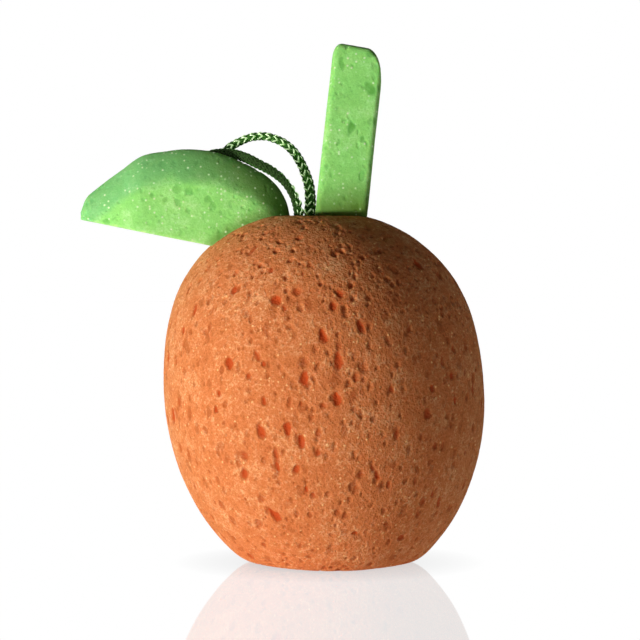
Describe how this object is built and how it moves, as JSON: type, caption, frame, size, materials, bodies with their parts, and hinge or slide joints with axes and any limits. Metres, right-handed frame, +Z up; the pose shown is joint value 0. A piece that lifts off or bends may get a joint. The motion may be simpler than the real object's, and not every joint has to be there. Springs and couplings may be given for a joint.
{
  "type": "bath sponge",
  "caption": "foam bath sponge shaped like an orange, with a foam leaf and stem on top and a knitted hang loop that lifts off the leaf",
  "frame": {"origin": "middle of the flat base that the sponge stands on", "axes": "+Z up, -Y the front that the picture shows, -X the way the leaf points"},
  "size_m": [0.1258, 0.1, 0.1613],
  "materials": {
    "orange_foam": "open-cell foam, matt, with deep pores",
    "green_foam": "open-cell foam, matt, fine",
    "green_cord": "knitted yarn with one bright thread",
    "clear_glue": "hot-melt adhesive"
  },
  "bodies": {
    "sponge": {"sponge_body": "orange_foam", "leaf": "green_foam", "stem": "green_foam", "leaf_glue": "clear_glue", "stem_glue": "clear_glue", "loop_root_near": "green_cord", "loop_root_far": "green_cord", "loop_knot": "green_cord"},
    "loop": {"hang_loop": "green_cord"}
  },
  "joints": [
    {"name": "loop_lift", "type": "hinge", "parent": "sponge", "child": "loop", "pos_m": [-0.0115, 0.004, 0.1182], "axis": [0, 1, 0], "range_deg": [0, 75], "deforming": ["hang_loop"]}
  ]
}
